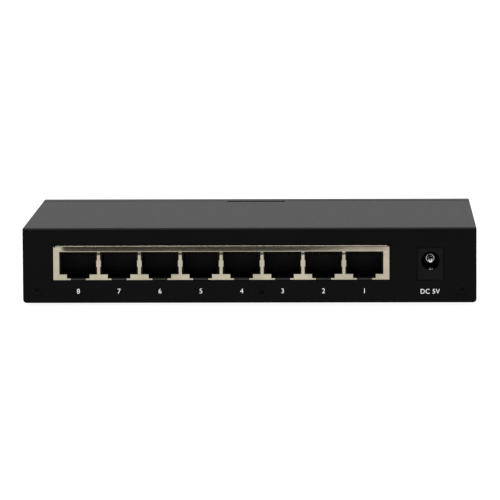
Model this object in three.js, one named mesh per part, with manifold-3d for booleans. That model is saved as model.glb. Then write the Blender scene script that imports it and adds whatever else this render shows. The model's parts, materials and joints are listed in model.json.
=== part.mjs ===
// Desktop network switch: eight ports in a folded steel case with a moulded front bezel.
// Units are millimetres. +Z is up, -Y is the port side, +Y is the indicator side and +X is to
// the right of somebody who looks at the ports. The origin lies on the surface that the feet
// stand on, below the middle of the case.

import * as THREE from 'three';
import { mergeVertices } from 'three/addons/utils/BufferGeometryUtils.js';
import Module from 'manifold-3d';

const wasm = await Module();
wasm.setup();

// ---------------------------------------------------------------- driving dimensions

// Case.
const caseWidth = 155;
const caseDepth = 100;
const caseHeight = 25.7;
const footHeight = 1.3;
const sheet = 0.8;
const bendRadius = 1.1;
const sideBendRadius = 0.3;
const lowerCornerRadius = 1.2;

// Clearances: between folded sheets, and under a piece that rests on another.
const slip = 0.3;
const rest = 0.1;
const frontSeam = 0.5;

// Row of ports.
const portCount = 8;
const portPitch = 13.97;
const portRowX = -9.63;
const windowWidth = 12.95;
const windowHeight = 7.8;
const latchWidth = 7.75;
const latchDrop = 1.4;
const shieldWidth = 114.8;
const shieldHeight = 11.8;
const shieldDepth = 19;
const shieldSheet = 0.3;

// Power jack.
const jackX = 61.8;
const jackWidth = 8.8;
const jackHeight = 10.8;
const jackDepth = 14.2;
const boreRadius = 3.2;
const boreRise = 6.6;

// Screws through the port panel into the tray: a pair at the corners and one in the middle.
const coverScrewPlaces = [
  { name: 'cover_screw_left', x: -72.6, rise: 5.0, recessTurn: 15 },
  { name: 'cover_screw_middle', x: 4.2, rise: 4.0, recessTurn: 40 },
  { name: 'cover_screw_right', x: 72.6, rise: 5.0, recessTurn: 45 },
];
const coverScrewHead = 2.2;
const coverScrewShank = 1.2;

// Circuit board.
const boardWidth = 140;
const boardThickness = 1.6;
const boardClearance = 5.3;
const boardRear = -47.5;
const boardFront = 39.5;
const boardScrewPlaces = [[-66.8, -20], [52.7, -39], [-66, 20], [66, 20]];

// Indicators: one for power, then one for each port.
const powerLightX = 44;
const firstLightX = 28;
const lightPitch = 8;
const lightRise = 12.9;
const ledY = 36.6;

// Feet.
const footRadius = 5;
const footX = 60;
const footY = 31;

// ---------------------------------------------------------------- derived places

const halfWidth = caseWidth / 2;
const rearY = -caseDepth / 2;
const frontY = caseDepth / 2;
const floorZ = footHeight;
const topZ = footHeight + caseHeight;
const wallX = halfWidth - sheet;
const ceilingZ = topZ - sheet;
const bezelRear = 44.5;
const coverFront = bezelRear - frontSeam;
const browRear = 43;
const browBottom = ceilingZ - slip - rest;
const browSeam = 0.9;
const coverTopFront = browRear - browSeam;
const trayX = wallX - slip;
const trayRear = rearY + sheet + slip;
const trayFront = 44;
const trayTop = floorZ + sheet;
const boardZ = trayTop + boardClearance;
const boardTop = boardZ + boardThickness;
const lightZ = floorZ + lightRise;

// ---------------------------------------------------------------- solid modelling helpers

const alongX = new THREE.Matrix4().makeBasis(
  new THREE.Vector3(0, 1, 0), new THREE.Vector3(0, 0, 1), new THREE.Vector3(1, 0, 0));
const alongMinusY = new THREE.Matrix4().makeBasis(
  new THREE.Vector3(1, 0, 0), new THREE.Vector3(0, 0, 1), new THREE.Vector3(0, -1, 0));

function solidFrom(geometry) {
  const bare = geometry.clone();
  bare.deleteAttribute('normal');
  bare.deleteAttribute('uv');
  const merged = mergeVertices(bare);
  const corners = merged.index.array;
  const kept = [];
  for (let i = 0; i < corners.length; i += 3) {
    const [a, b, c] = [corners[i], corners[i + 1], corners[i + 2]];
    if (a !== b && b !== c && c !== a) kept.push(a, b, c);
  }
  return new wasm.Manifold(new wasm.Mesh({
    numProp: 3,
    vertProperties: new Float32Array(merged.attributes.position.array),
    triVerts: new Uint32Array(kept),
  }));
}

function geometryFrom(solid) {
  const { vertProperties, triVerts } = solid.getMesh();
  const geometry = new THREE.BufferGeometry();
  geometry.setAttribute('position', new THREE.BufferAttribute(vertProperties, 3));
  geometry.setIndex(new THREE.BufferAttribute(triVerts, 1));
  geometry.computeVertexNormals();
  return geometry;
}

function joined(first, ...others) {
  return others.reduce((whole, next) => whole.add(next), first);
}

function cut(body, ...tools) {
  return tools.reduce((whole, tool) => whole.subtract(tool), body);
}

function box(x0, x1, y0, y1, z0, z1) {
  const geometry = new THREE.BoxGeometry(x1 - x0, y1 - y0, z1 - z0);
  geometry.translate((x0 + x1) / 2, (y0 + y1) / 2, (z0 + z1) / 2);
  return solidFrom(geometry);
}

// A block that stands on z0, with its middle over x and y.
function block(width, depth, z0, z1, x = 0, y = 0) {
  return box(x - width / 2, x + width / 2, y - depth / 2, y + depth / 2, z0, z1);
}

function extruded(shape, length, curveSegments) {
  return new THREE.ExtrudeGeometry(shape, { depth: length, bevelEnabled: false, curveSegments });
}

// A section drawn in y and z, drawn out along X.
function extrudedX(shape, x0, x1, curveSegments = 4) {
  const geometry = extruded(shape, x1 - x0, curveSegments);
  geometry.applyMatrix4(alongX);
  geometry.translate(x0, 0, 0);
  return solidFrom(geometry);
}

// A section drawn in x and z, drawn out along Y.
function extrudedY(shape, y0, y1, curveSegments = 4) {
  const geometry = extruded(shape, y1 - y0, curveSegments);
  geometry.applyMatrix4(alongMinusY);
  geometry.translate(0, y1, 0);
  return solidFrom(geometry);
}

function extrudedZ(shape, z0, z1, curveSegments = 4) {
  const geometry = extruded(shape, z1 - z0, curveSegments);
  geometry.translate(0, 0, z0);
  return solidFrom(geometry);
}

// Profiles are [radius, distance along the axis], from the axis round to the axis again.
function latheGeometry(profile, segments) {
  const points = profile.map(([radius, along]) => new THREE.Vector2(radius, along));
  return new THREE.LatheGeometry(points, segments);
}

function turnedAboutY(profile, segments = 20) {
  return solidFrom(latheGeometry(profile, segments));
}

function turnedAboutZ(profile, segments = 20) {
  const geometry = latheGeometry(profile, segments);
  geometry.rotateX(Math.PI / 2);
  return solidFrom(geometry);
}

function polygon(points) {
  return new THREE.Shape(points.map(([a, b]) => new THREE.Vector2(a, b)));
}

// A rectangle whose lower and upper corners may be rounded.
function roundedRectangle(x0, x1, z0, z1, lower, upper = lower) {
  const shape = new THREE.Shape();
  const quarter = Math.PI / 2;
  shape.moveTo(x0 + lower, z0);
  shape.lineTo(x1 - lower, z0);
  shape.absarc(x1 - lower, z0 + lower, lower, -quarter, 0);
  shape.lineTo(x1, z1 - upper);
  shape.absarc(x1 - upper, z1 - upper, upper, 0, quarter);
  shape.lineTo(x0 + upper, z1);
  shape.absarc(x0 + upper, z1 - upper, upper, quarter, 2 * quarter);
  shape.lineTo(x0, z0 + lower);
  shape.absarc(x0 + lower, z0 + lower, lower, 2 * quarter, 3 * quarter);
  return shape;
}

// The outline of a strip of even thickness along a line of points.
function stripOutline(points, thickness) {
  const half = thickness / 2;
  const left = [];
  const right = [];
  points.forEach(([a, b], i) => {
    const [a0, b0] = points[Math.max(i - 1, 0)];
    const [a1, b1] = points[Math.min(i + 1, points.length - 1)];
    const length = Math.hypot(a1 - a0, b1 - b0);
    const across = [-(b1 - b0) / length * half, (a1 - a0) / length * half];
    left.push([a + across[0], b + across[1]]);
    right.unshift([a - across[0], b - across[1]]);
  });
  return polygon([...left, ...right]);
}

// ---------------------------------------------------------------- finishes

function finish(color, roughness, metalness) {
  return new THREE.MeshStandardMaterial({ color, roughness, metalness });
}

const finishes = {
  blackPaint: () => finish(0x17171a, 0.45, 0.3),
  plainSteel: () => finish(0x9ea1a3, 0.4, 0.9),
  tinPlate: () => finish(0xcfc6b2, 0.3, 0.95),
  blackScrew: () => finish(0x111113, 0.4, 0.8),
  bezelPlastic: () => finish(0x141416, 0.3, 0),
  blackPlastic: () => finish(0x0c0c0d, 0.5, 0),
  clearPlastic: () => finish(0xdfe6e8, 0.1, 0),
  gold: () => finish(0xd8b25c, 0.25, 1),
  nickel: () => finish(0xc9c7c0, 0.25, 1),
  board: () => finish(0x1c5a36, 0.5, 0),
  chipBlack: () => finish(0x1a1a1c, 0.6, 0),
  aluminium: () => finish(0xa9acae, 0.4, 0.9),
  pad: () => finish(0x9a9fa6, 0.9, 0),
  led: () => finish(0xe9efdf, 0.3, 0),
  rubber: () => finish(0x1b1b1b, 0.95, 0),
};

function piece(name, solid, material, x = 0, y = 0, z = 0) {
  const mesh = new THREE.Mesh(geometryFrom(solid), material());
  mesh.name = name;
  mesh.position.set(x, y, z);
  return mesh;
}

// ---------------------------------------------------------------- cover

const coverScrewDish = 0.15;
const dishRadius = 2.9;
const cornerSeam = 0.25;
const frontNotchWidth = 21;
const frontNotchDepth = 2.6;
const ventCount = 10;
const ventPitch = 4.6;
const ventWidth = 2;
const ventHeight = 11;

// The folded shell: top, two sides and port panel, as bent from one sheet.
function coverShell() {
  const sideToSide = roundedRectangle(-halfWidth, halfWidth, floorZ, topZ, lowerCornerRadius, sideBendRadius);
  const frontToRear = new THREE.Shape();
  frontToRear.moveTo(coverFront, floorZ);
  frontToRear.lineTo(coverFront, topZ);
  frontToRear.lineTo(rearY + bendRadius, topZ);
  frontToRear.absarc(rearY + bendRadius, topZ - bendRadius, bendRadius, Math.PI / 2, Math.PI);
  frontToRear.lineTo(rearY, floorZ);
  const outside = extrudedY(sideToSide, rearY, coverFront)
    .intersect(extrudedX(frontToRear, -halfWidth, halfWidth));
  const inside = box(-wallX, wallX, rearY + sheet, frontY, 0, ceilingZ);
  return outside.subtract(inside);
}

// The slit at each rear corner where the side wall meets the back of the port panel.
function cornerSeams() {
  const seamTop = topZ - 2 * bendRadius;
  return [-1, 1].map((side) => {
    const edges = [side * (wallX - rest), side * (halfWidth + 1)].sort((a, b) => a - b);
    return box(edges[0], edges[1], rearY + sheet, rearY + sheet + cornerSeam, 0, seamTop);
  });
}

function countersunkHoles() {
  const reach = sheet + rest;
  const profile = [
    [0, -1], [dishRadius, -1], [dishRadius, 0], [coverScrewHead + 0.1, coverScrewDish],
    [coverScrewHead + 0.1 - (reach - coverScrewDish), reach], [0, reach],
  ];
  return coverScrewPlaces.map(({ x, rise }) =>
    turnedAboutY(profile).translate([x, rearY, floorZ + rise]));
}

function sideVents() {
  const middleZ = floorZ + caseHeight / 2 + 1;
  const radius = ventWidth / 2;
  const slots = [];
  for (let i = 0; i < ventCount; i += 1) {
    const y = (i - (ventCount - 1) / 2) * ventPitch;
    const slot = roundedRectangle(y - radius, y + radius, middleZ - ventHeight / 2,
      middleZ + ventHeight / 2, radius);
    slots.push(extrudedX(slot, -halfWidth - 1, -wallX + rest, 2));
    slots.push(extrudedX(slot, wallX - rest, halfWidth + 1, 2));
  }
  return slots;
}

function topCover() {
  const throughPanel = [rearY - 1, rearY + sheet + rest];
  const shieldBottom = boardTop + 0.2;
  const portWindow = box(
    portRowX - shieldWidth / 2 - 0.25, portRowX + shieldWidth / 2 + 0.25, ...throughPanel,
    shieldBottom - 0.25, shieldBottom + shieldHeight + 0.25);
  const jackWindow = box(
    jackX - jackWidth / 2 - 0.2, jackX + jackWidth / 2 + 0.2, ...throughPanel,
    boardTop - 0.1, boardTop + rest + jackHeight + 0.2);
  const browRoom = box(-halfWidth - 1, halfWidth + 1, coverTopFront, coverFront + 1,
    browBottom - slip, topZ + 1);
  const frontNotch = box(-frontNotchWidth / 2, frontNotchWidth / 2,
    coverTopFront - frontNotchDepth, coverFront + 1, ceilingZ - 1, topZ + 1);
  return cut(coverShell(), portWindow, jackWindow, browRoom, frontNotch,
    ...cornerSeams(), ...countersunkHoles(), ...sideVents());
}

// A countersunk screw along Y with a cross recess; its origin is the middle of the head's face.
function coverScrew(recessTurn) {
  const length = 5;
  const coneDepth = coverScrewHead - coverScrewShank;
  const body = turnedAboutY([
    [0, 0], [coverScrewHead, 0], [coverScrewShank, coneDepth], [coverScrewShank, length - 0.4],
    [coverScrewShank - 0.4, length], [0, length],
  ]);
  const recess = joined(
    box(-1.1, 1.1, -1, 0.7, -0.34, 0.34),
    box(-0.34, 0.34, -1, 0.7, -1.1, 1.1),
    turnedAboutY([[0, -1], [0.7, -1], [0.7, 1], [0, 1]], 12));
  return body.subtract(recess.rotate([0, recessTurn, 0]));
}

function coverPieces() {
  const group = new THREE.Group();
  group.add(piece('top_cover', topCover(), finishes.blackPaint));
  for (const { name, x, rise, recessTurn } of coverScrewPlaces) {
    group.add(piece(name, coverScrew(recessTurn), finishes.blackScrew,
      x, rearY + coverScrewDish, floorZ + rise));
  }
  return group;
}

// ---------------------------------------------------------------- tray and feet

const sideFlangeTop = 10;
const rearFlangeTop = 8.3;
const frontFlangeY = 42.4;
const frontFlangeTop = 10;
const hookX = 50;
const hookSlotWidth = 10;
const hookSlotBottom = 5;
const hookSlotTop = 8.2;
const pillarFoot = 4.4;
const pillarHead = 3;

// A pillar pressed up from the tray, hollow from below, with a hole for the board's screw.
function trayPillar() {
  const top = boardZ - rest;
  return turnedAboutZ([
    [0, trayTop - rest], [pillarFoot, trayTop - rest], [pillarHead, top], [0, top],
  ], 16);
}

function trayPillarHollow() {
  const top = boardZ - rest;
  const hollow = [
    [0, 0], [pillarFoot - 0.3, 0], [pillarHead - sheet, top - sheet], [0, top - sheet],
  ];
  const screwHole = [[0, 0], [1.4, 0], [1.4, top + 1], [0, top + 1]];
  return joined(turnedAboutZ(hollow, 16), turnedAboutZ(screwHole, 16));
}

function baseTray() {
  const plate = box(-trayX, trayX, trayRear, trayFront, floorZ, trayTop);
  const rearFlange = box(-74, 74, trayRear, trayRear + sheet, floorZ, rearFlangeTop);
  const frontFlange = box(-70, 70, frontFlangeY, frontFlangeY + sheet, floorZ, frontFlangeTop);
  const leftFlange = box(-trayX, -trayX + sheet, -46, 38, floorZ, sideFlangeTop);
  const rightFlange = box(trayX - sheet, trayX, -46, 38, floorZ, sideFlangeTop);
  const pillars = boardScrewPlaces.map(([x, y]) => trayPillar().translate([x, y, 0]));
  const hollows = boardScrewPlaces.map(([x, y]) => trayPillarHollow().translate([x, y, 0]));
  const collars = coverScrewPlaces.map(({ x, rise }) =>
    turnedAboutY([[0, 0], [1.85, 0], [1.75, 1.4], [0, 1.4]])
      .translate([x, trayRear + sheet - rest, floorZ + rise]));
  const screwHoles = coverScrewPlaces.map(({ x, rise }) =>
    turnedAboutY([[0, -1], [1.45, -1], [1.45, 4], [0, 4]])
      .translate([x, trayRear, floorZ + rise]));
  const hookSlots = [-hookX, hookX].map((x) => box(x - hookSlotWidth / 2, x + hookSlotWidth / 2,
    frontFlangeY - 1, frontFlangeY + sheet + 1, hookSlotBottom, hookSlotTop));
  const folded = joined(plate, rearFlange, frontFlange, leftFlange, rightFlange,
    ...pillars, ...collars);
  return cut(folded, ...hollows, ...screwHoles, ...hookSlots);
}

function rubberFoot() {
  const height = footHeight - rest;
  return turnedAboutZ([
    [0, 0], [footRadius - 0.5, 0], [footRadius, 0.5], [footRadius, height], [0, height],
  ], 24);
}

function trayPieces() {
  const group = new THREE.Group();
  group.add(piece('base_tray', baseTray(), finishes.blackPaint));
  const feet = [
    ['foot_rear_left', -footX, -footY], ['foot_rear_right', footX, -footY],
    ['foot_front_left', -footX, footY], ['foot_front_right', footX, footY],
  ];
  for (const [name, x, y] of feet) {
    group.add(piece(name, rubberFoot(), finishes.rubber, x, y, 0));
  }
  return group;
}

// ---------------------------------------------------------------- front bezel

const bezelWall = 2;
const bezelEdgeRadius = 0.6;
const lightWindow = 2.5;

function lightPlaces() {
  const ports = Array.from({ length: portCount }, (_, i) => firstLightX - i * lightPitch);
  return [powerLightX, ...ports];
}

// A snap arm through a slot of the tray's front flange.
function bezelHook(x) {
  const arm = box(x - 4, x + 4, 40.4, frontY - bezelWall + rest, 5.6, 7.2);
  const barb = extrudedX(polygon([[40.4, 7.1], [42.1, 7.1], [42.1, 8.8], [41.5, 8.8]]), x - 4, x + 4);
  return arm.add(barb);
}

function frontBezel() {
  const sideToSide = roundedRectangle(-halfWidth, halfWidth, floorZ, topZ, lowerCornerRadius, sideBendRadius);
  const frontToRear = new THREE.Shape();
  const soft = bezelEdgeRadius;
  frontToRear.moveTo(bezelRear, floorZ);
  frontToRear.lineTo(frontY - soft, floorZ);
  frontToRear.absarc(frontY - soft, floorZ + soft, soft, -Math.PI / 2, 0);
  frontToRear.lineTo(frontY, topZ - soft);
  frontToRear.absarc(frontY - soft, topZ - soft, soft, 0, Math.PI / 2);
  frontToRear.lineTo(bezelRear, topZ);
  const outside = extrudedY(sideToSide, bezelRear, frontY)
    .intersect(extrudedX(frontToRear, -halfWidth, halfWidth));
  const hollow = box(-halfWidth + bezelWall, halfWidth - bezelWall, bezelRear - 1,
    frontY - bezelWall, floorZ + bezelWall, topZ - bezelWall);
  const legend = box(-34, 50, frontY - 0.4, frontY + 1, lightZ - 3.5, lightZ + 3.5);
  const brow = extrudedY(sideToSide, browRear, bezelRear + rest)
    .intersect(box(-halfWidth, halfWidth, browRear, bezelRear + rest, browBottom, topZ));
  const topLip = box(-70, 70, 39.1, bezelRear + rest, ceilingZ - 1.8, ceilingZ - slip);
  const sideLips = [-1, 1].map((side) => {
    const edges = [side * (wallX - slip - 1.6), side * (wallX - slip)].sort((a, b) => a - b);
    return box(edges[0], edges[1], 41, bezelRear + rest, 8, 23);
  });
  const windows = lightPlaces().map((x) => box(x - lightWindow / 2, x + lightWindow / 2,
    frontY - bezelWall - 1, frontY + 1, lightZ - lightWindow / 2, lightZ + lightWindow / 2));
  const moulding = joined(cut(outside, hollow), brow, topLip, ...sideLips,
    bezelHook(-hookX), bezelHook(hookX));
  return cut(moulding, legend, ...windows);
}

// One clear moulding: a prong for each indicator, tied by a bar, on two legs.
function lightPipe() {
  const half = 1;
  const tip = frontY - 0.5;
  const back = ledY - half;
  const low = boardTop + 1.1;
  const prong = polygon([
    [tip, lightZ - half], [tip, lightZ + half], [back + 2.2, lightZ + half],
    [back, lightZ - 1.2], [back, low], [back + 2 * half, low],
    [back + 2 * half, lightZ - half],
  ]);
  const prongs = lightPlaces().map((x) => extrudedX(prong, x - half, x + half));
  const ends = [firstLightX - (portCount - 1) * lightPitch - half, powerLightX + half];
  const bar = box(ends[0], ends[1], 41.2, 42.2, lightZ - 0.9, lightZ + 0.9);
  const legs = [-24, 36].map((x) => joined(
    box(x - half, x + half, 33.4, 42, lightZ - 0.9, lightZ + 0.9),
    box(x - half, x + half, 33.4, 35.2, boardTop + rest, lightZ + 0.9)));
  return joined(bar, ...prongs, ...legs);
}

function frontPieces() {
  const group = new THREE.Group();
  group.add(piece('front_bezel', frontBezel(), finishes.bezelPlastic));
  group.add(piece('light_pipe', lightPipe(), finishes.clearPlastic));
  return group;
}

// ---------------------------------------------------------------- row of ports
// The row's own origin is on the board's top, in the plane of the port panel, at its middle.

const shieldBase = 0.2;
const windowBase = 2.1;
const latchBase = windowBase - latchDrop;
const slotWidth = 5.2;
const bulgeRise = 2.6;
const bulgeHeight = 2.2;
const bulgeReach = 0.25;
const cavityWidth = 11.9;
const cavityDepth = 13;
const contactsPerPort = 8;
const contactPitch = 1.016;

function portPlaces() {
  return Array.from({ length: portCount }, (_, i) => (i - (portCount - 1) / 2) * portPitch);
}

// The moulded block behind the shield, with a cavity, latch channel and contact pocket per port.
function portHousing() {
  const half = shieldWidth / 2 - shieldSheet - rest;
  const front = shieldSheet + rest;
  const back = shieldDepth - shieldSheet - rest;
  const top = shieldBase + shieldHeight - shieldSheet - rest;
  const body = box(-half, half, front, back, shieldBase + rest, top);
  const hollows = portPlaces().flatMap((x) => [
    box(x - cavityWidth / 2, x + cavityWidth / 2, -1, cavityDepth, windowBase + 0.1,
      windowBase + windowHeight),
    box(x - latchWidth / 2 + 0.1, x + latchWidth / 2 - 0.1, -1, cavityDepth, latchBase + 0.1,
      windowBase + 0.2),
    box(x - 4.3, x + 4.3, 1.1, cavityDepth, windowBase + windowHeight - 0.1, top - 0.8),
  ]);
  return cut(body, ...hollows);
}

// The opening of one port in the shield: the window, the latch notch and a slot below it.
function shieldOpening(x) {
  const low = windowBase;
  return joined(
    box(x - windowWidth / 2, x + windowWidth / 2, -1, 1, low, low + windowHeight),
    box(x - latchWidth / 2, x + latchWidth / 2, -1, 1, latchBase, low + rest),
    box(x - slotWidth / 2, x + slotWidth / 2, -1, 1, -1, latchBase + rest));
}

// The folded tin shield, open below, with a grounding bulge on each post between two ports.
function portShield() {
  const half = shieldWidth / 2;
  const top = shieldBase + shieldHeight;
  const inner = half - shieldSheet;
  const cornerNotch = 0.7;
  const outside = box(-half, half, 0, shieldDepth, shieldBase, top);
  const inside = box(-inner, inner, shieldSheet, shieldDepth - shieldSheet, -1, top - shieldSheet);
  const openings = portPlaces().map(shieldOpening);
  const corners = [-1, 1].map((side) =>
    block(2 * cornerNotch, 0.6, top - cornerNotch, top + 1, side * half, 0));
  const bulgeWidth = portPitch - windowWidth + 2 * bulgeReach;
  const bulges = portPlaces().slice(1).map((x) =>
    box(x - portPitch / 2 - bulgeWidth / 2, x - portPitch / 2 + bulgeWidth / 2, 0, shieldSheet,
      windowBase + bulgeRise, windowBase + bulgeRise + bulgeHeight));
  return joined(cut(outside, inside, ...openings, ...corners), ...bulges);
}

// Eight sprung wires from one root bar; they slope down into the cavity from its mouth.
// The comb's origin is the middle of its root bar, about which it flexes.
function contactComb() {
  const wire = 0.4;
  const slope = [[0, 0], [1.6, -0.4], [7.8, -2.55], [8.9, -2.6]];
  const outline = stripOutline(slope, 0.35);
  const root = block(contactPitch * contactsPerPort - 0.2, 0.7, -0.25, 0.25);
  const wires = Array.from({ length: contactsPerPort }, (_, i) => {
    const x = (i - (contactsPerPort - 1) / 2) * contactPitch;
    return extrudedX(outline, x - wire / 2, x + wire / 2);
  });
  return joined(root, ...wires);
}

function portRow() {
  const group = new THREE.Group();
  group.position.set(portRowX, rearY, boardTop);
  group.add(piece('port_housing', portHousing(), finishes.blackPlastic));
  group.add(piece('port_shield', portShield(), finishes.tinPlate));
  portPlaces().forEach((x, i) => {
    const number = portCount - i;
    group.add(piece(`port_contacts_${number}`, contactComb(), finishes.gold, x, 1.8, 10.3));
  });
  return group;
}

// ---------------------------------------------------------------- power jack
// The jack's own origin is on the board's top, in the plane of the port panel, at its middle.

const boreDepth = 9.5;
const collarRadius = 1.45;
const collarFront = 8.2;
const pinEnd = 12.8;
const springWidth = 1.8;
const springRoom = 1.2;

function jackHousing() {
  const body = box(-jackWidth / 2, jackWidth / 2, 0, jackDepth, rest, rest + jackHeight);
  const bore = turnedAboutY([[0, -1], [boreRadius, -1], [boreRadius, boreDepth], [0, boreDepth]], 24)
    .translate([0, 0, boreRise]);
  const pinHole = turnedAboutY([[0, 0], [0.95, 0], [0.95, 13], [0, 13]], 16)
    .translate([0, 0, boreRise]);
  const springSlot = box(-springRoom, springRoom, 0.6, jackDepth - 0.8, 1.4, boreRise - 2.2);
  return cut(body, bore, pinHole, springSlot);
}

// The centre pin, with a collar against the floor of the bore.
function jackPin() {
  return turnedAboutY([
    [0, 1.0], [0.5, 1.1], [0.9, 1.5], [1, 2], [1, collarFront], [collarRadius, collarFront],
    [collarRadius, boreDepth - rest], [0.8, boreDepth - rest], [0.8, pinEnd], [0, pinEnd],
  ], 16);
}

// The sprung leaf under the pin. Its origin is the bend at its rear, about which it flexes.
function jackSpring() {
  const line = [[0, -1.4], [0, 0], [-2.4, 0.3], [-7.8, 1.55], [-9.2, 1.7], [-10.6, 1.25], [-11.9, 0.45]];
  return extrudedX(stripOutline(line, 0.3), -springWidth / 2, springWidth / 2);
}

function powerJack() {
  const group = new THREE.Group();
  group.position.set(jackX, rearY, boardTop);
  group.add(piece('dc_jack_housing', jackHousing(), finishes.blackPlastic));
  group.add(piece('dc_jack_pin', jackPin(), finishes.nickel, 0, 0, boreRise));
  group.add(piece('dc_jack_spring', jackSpring(), finishes.nickel, 0, 12.9, 3.0));
  return group;
}

// ---------------------------------------------------------------- parts on the board
// Each part's own origin is on the board's top, below its middle.

// A low moulded package with a row of leads along its front and its rear.
function leadedPackage(width, depth, height, leads, leadPitch, leadWidth, leadReach) {
  const body = block(width, depth, rest, height);
  const rows = Array.from({ length: leads }, (_, i) => {
    const x = (i - (leads - 1) / 2) * leadPitch;
    return block(leadWidth, depth + 2 * leadReach, rest, rest + 0.25, x);
  });
  return joined(body, ...rows);
}

// A pair of isolating coils for two ports, moulded in one package.
function lineTransformer() {
  return leadedPackage(24.5, 12.6, 6, 9, 2.54, 0.6, 1.2);
}

function flashChip() {
  return leadedPackage(5, 4, 1.6, 4, 1.27, 0.42, 1);
}

function switchChip() {
  return block(20, 20, rest, 1.5);
}

function thermalPad() {
  return block(19, 19, 1.6, 2.1);
}

function heatSink() {
  const width = 32;
  const finCount = 9;
  const finThickness = 1.3;
  const base = block(width, width, 2.2, 4.2);
  const fins = Array.from({ length: finCount }, (_, i) => {
    const x = (i / (finCount - 1) - 0.5) * (width - finThickness);
    return block(finThickness, width, 4.1, 11.2, x);
  });
  return joined(base, ...fins);
}

// A can capacitor standing on a round base.
function canCapacitor(radius, height) {
  return turnedAboutZ([
    [0, rest], [radius, rest], [radius, 1.2], [radius - 0.3, 1.5], [radius, 1.8],
    [radius, height - 0.4], [radius - 0.4, height], [0, height],
  ]);
}

function powerInductor() {
  return extrudedZ(roundedRectangle(-3.5, 3.5, -3.5, 3.5, 1), rest, 4, 2);
}

function voltageRegulator() {
  const body = block(6.5, 6.1, rest, 2.4);
  const tab = block(5.2, 2, rest, 0.6, 0, 4);
  const leads = [-2.3, 2.3].map((x) => block(0.8, 3, rest, 0.6, x, -4));
  return joined(body, tab, ...leads);
}

function crystal() {
  return extrudedZ(roundedRectangle(-5.5, 5.5, -2.2, 2.2, 2.15), rest, 3.6, 4);
}

function statusLight() {
  return joined(block(2, 1.25, rest, 0.45), block(1.5, 1.1, 0.4, 0.75));
}

function mainBoard() {
  const half = boardWidth / 2;
  const plate = box(-half, half, boardRear, boardFront, -boardThickness, 0);
  const holes = boardScrewPlaces.map(([x, y]) =>
    turnedAboutZ([[0, -4], [1.5, -4], [1.5, 4], [0, 4]], 16).translate([x, y, 0]));
  return cut(plate, ...holes);
}

function boardScrew() {
  const head = turnedAboutZ([
    [0, rest], [2.4, rest], [2.4, 1.1], [1.8, 1.7], [0, 1.7],
  ], 16);
  const shank = turnedAboutZ([[0, -5], [1.0, -5], [1.2, -4.6], [1.2, 0.5], [0, 0.5]], 12);
  const recess = joined(block(2, 0.5, 0.8, 3), block(0.5, 2, 0.8, 3));
  return head.add(shank).subtract(recess);
}

function boardPieces() {
  const group = new THREE.Group();
  group.position.set(0, 0, boardTop);
  group.add(piece('main_board', mainBoard(), finishes.board));
  boardScrewPlaces.forEach(([x, y], i) => {
    group.add(piece(`board_screw_${i + 1}`, boardScrew(), finishes.plainSteel, x, y));
  });
  portPlaces().filter((_, i) => i % 2 === 0).forEach((x, i) => {
    const middle = portRowX + x + portPitch / 2;
    group.add(piece(`line_transformer_${i + 1}`, lineTransformer(), finishes.chipBlack, middle, -21));
  });
  const chip = { x: -8, y: 8 };
  group.add(piece('switch_chip', switchChip(), finishes.chipBlack, chip.x, chip.y));
  group.add(piece('thermal_pad', thermalPad(), finishes.pad, chip.x, chip.y));
  group.add(piece('heat_sink', heatSink(), finishes.aluminium, chip.x, chip.y));
  group.add(piece('input_capacitor', canCapacitor(4, 11.5), finishes.aluminium, 62, -27));
  group.add(piece('power_inductor', powerInductor(), finishes.chipBlack, 62, -13));
  group.add(piece('voltage_regulator_1', voltageRegulator(), finishes.chipBlack, 50, -13));
  group.add(piece('voltage_regulator_2', voltageRegulator(), finishes.chipBlack, 50, 2));
  group.add(piece('output_capacitor', canCapacitor(3.15, 7), finishes.aluminium, 62, 0));
  group.add(piece('crystal', crystal(), finishes.nickel, -34, 12));
  group.add(piece('flash_chip', flashChip(), finishes.chipBlack, -34, 0));
  lightPlaces().forEach((x, i) => {
    const name = i === 0 ? 'led_power' : `led_port_${i}`;
    group.add(piece(name, statusLight(), finishes.led, x, ledY));
  });
  return group;
}

// ---------------------------------------------------------------- assembly

const networkSwitch = new THREE.Group();
networkSwitch.name = 'network_switch';
networkSwitch.add(coverPieces(), trayPieces(), frontPieces(), boardPieces(), portRow(), powerJack());

export default networkSwitch;
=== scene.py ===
"""Looks for the desktop network switch. Metres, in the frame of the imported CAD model:
-Y is the socket side, +Y the indicator side, +X to the right of somebody facing the sockets."""

import json
import math
import random

import bmesh
import bpy
from mathutils import Matrix, Vector


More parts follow.
